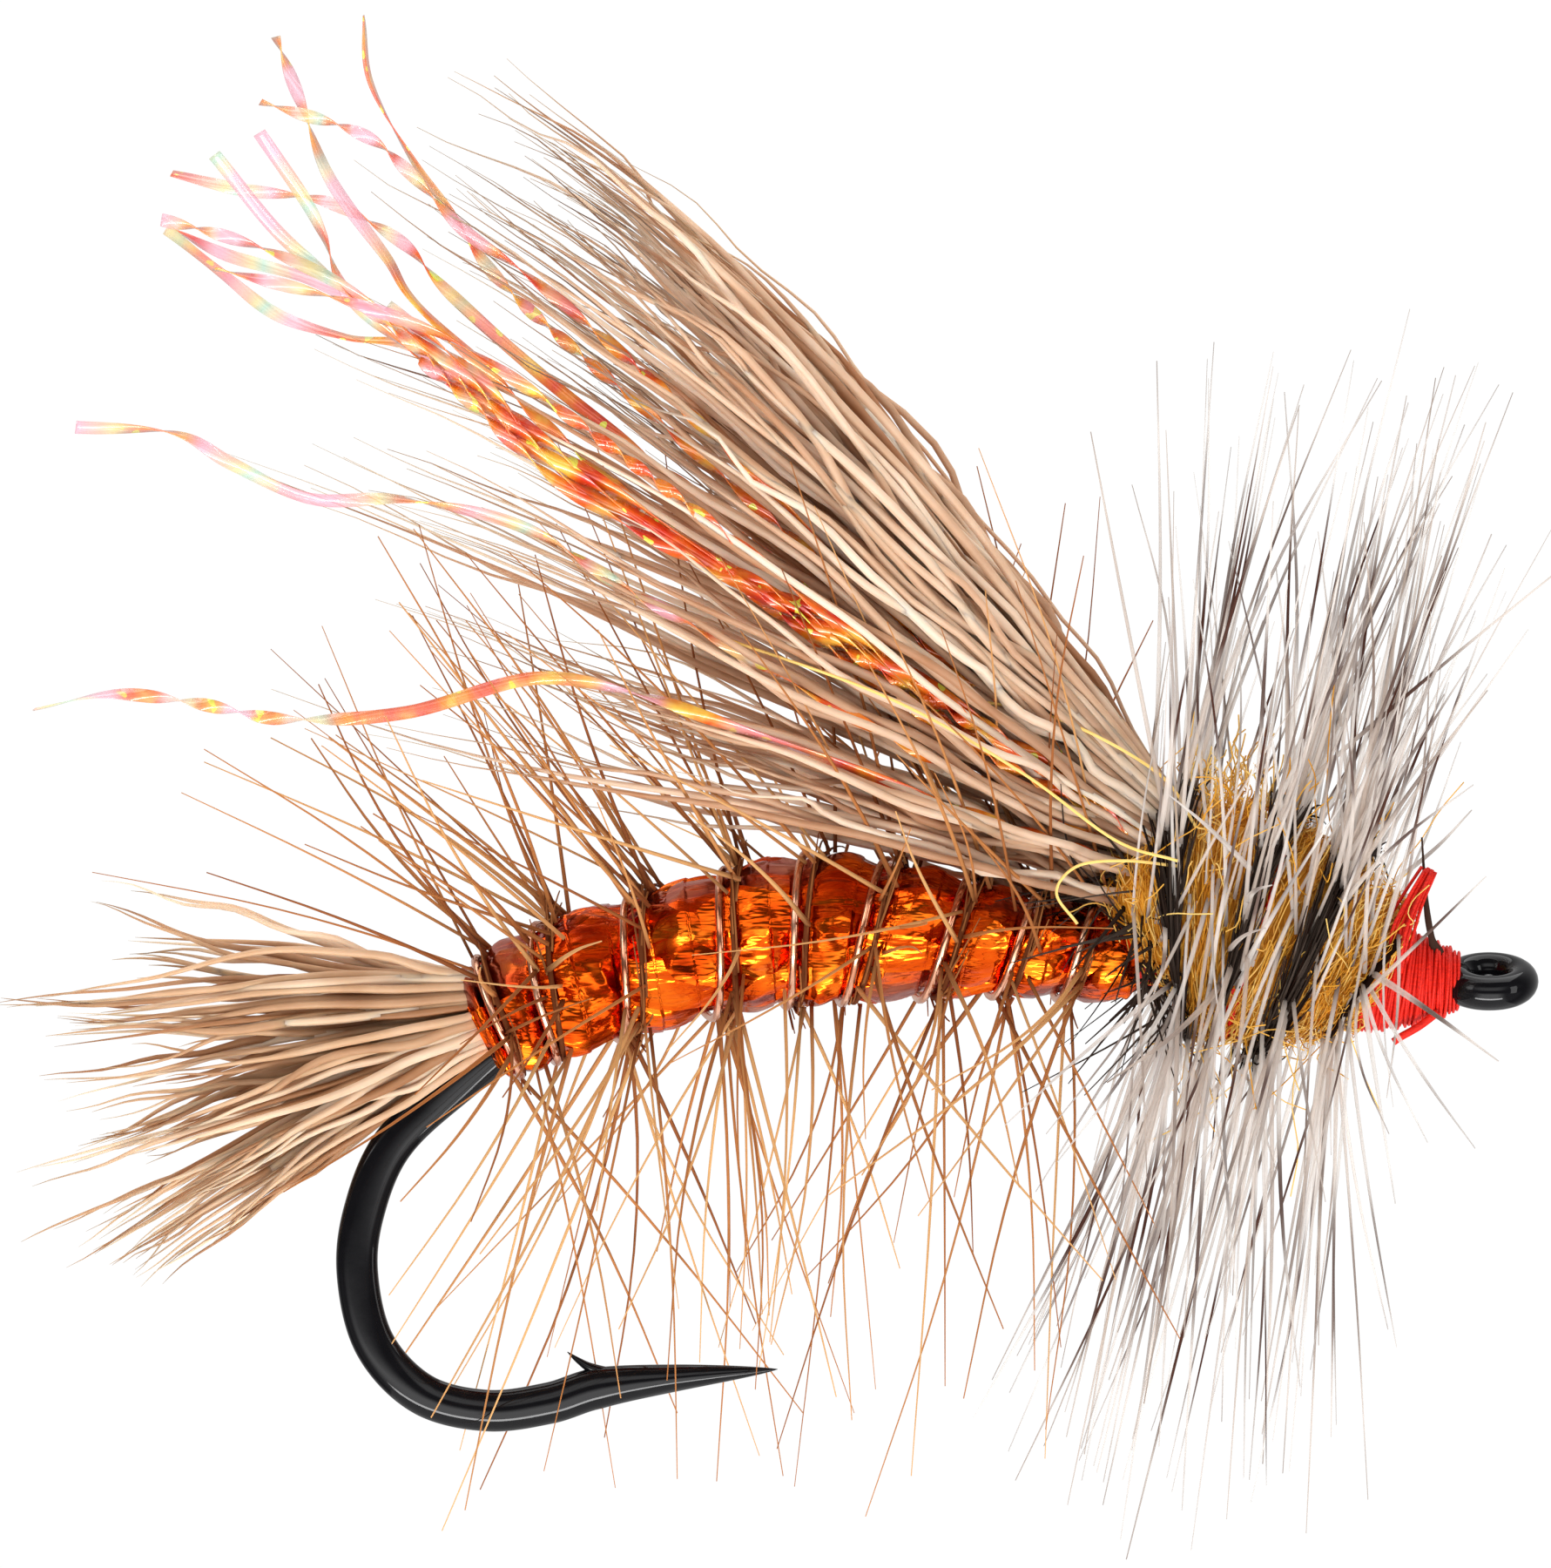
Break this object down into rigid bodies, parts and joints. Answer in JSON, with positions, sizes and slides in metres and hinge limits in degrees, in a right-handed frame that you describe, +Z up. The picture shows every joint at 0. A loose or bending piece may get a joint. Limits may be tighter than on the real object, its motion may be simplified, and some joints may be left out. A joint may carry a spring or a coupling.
{
  "type": "dry fly",
  "caption": "Dry fly on a long curved hook: splayed hair tail and wing with flash, ribbed tinsel body, wound body hackle, fur thorax with barred front hackle, thread head.",
  "frame": {"origin": "centre of the hook eye's ring, in the plane of the hook", "axes": "+X forward out through the eye along the shank, +Z up on the wing's side, +Y to the fly's left"},
  "size_m": [0.0296, 0.0226, 0.0295],
  "materials": {
    "hook_wire": "gloss black nickel",
    "thread": "waxed twisted thread",
    "underbody": "matte",
    "tinsel": "metallised film, lacquered",
    "copper": "bright copper wire",
    "tail_hair": "natural hair",
    "wing_hair": "natural hair, dark tips",
    "flash": "iridescent film",
    "dubbing": "loose fur",
    "ginger_feather": "glossy barbs",
    "grizzly_feather": "barred barbs",
    "feather_stem": "horny stem"
  },
  "bodies": {
    "root": {"hook": "hook_wire", "thread_base": "thread", "tail_binding": "thread", "underbody": "underbody", "body_tinsel": "tinsel", "rib_wire": "copper", "tail_hair_1": "tail_hair", "tail_hair_2": "tail_hair", "tail_hair_3": "tail_hair", "tail_hair_4": "tail_hair", "tail_hair_5": "tail_hair", "tail_hair_6": "tail_hair", "wing_hair_1": "wing_hair", "wing_hair_2": "wing_hair", "wing_hair_3": "wing_hair", "wing_hair_4": "wing_hair", "wing_hair_5": "wing_hair", "wing_hair_6": "wing_hair", "wing_hair_7": "wing_hair", "flash_strand_1": "flash", "flash_strand_2": "flash", "flash_strand_3": "flash", "flash_strand_4": "flash", "flash_strand_5": "flash", "flash_strand_6": "flash", "flash_strand_7": "flash", "flash_strand_8": "flash", "flash_strand_9": "flash", "flash_strand_10": "flash", "flash_strand_11": "flash", "flash_strand_12": "flash", "wing_binding": "thread", "thorax_dubbing": "dubbing", "body_hackle": "ginger_feather", "front_hackle": "grizzly_feather", "head_thread": "thread", "thread_tag": "thread", "thread_tuft": "thread", "hackle_stem_stub": "feather_stem"}
  },
  "joints": []
}
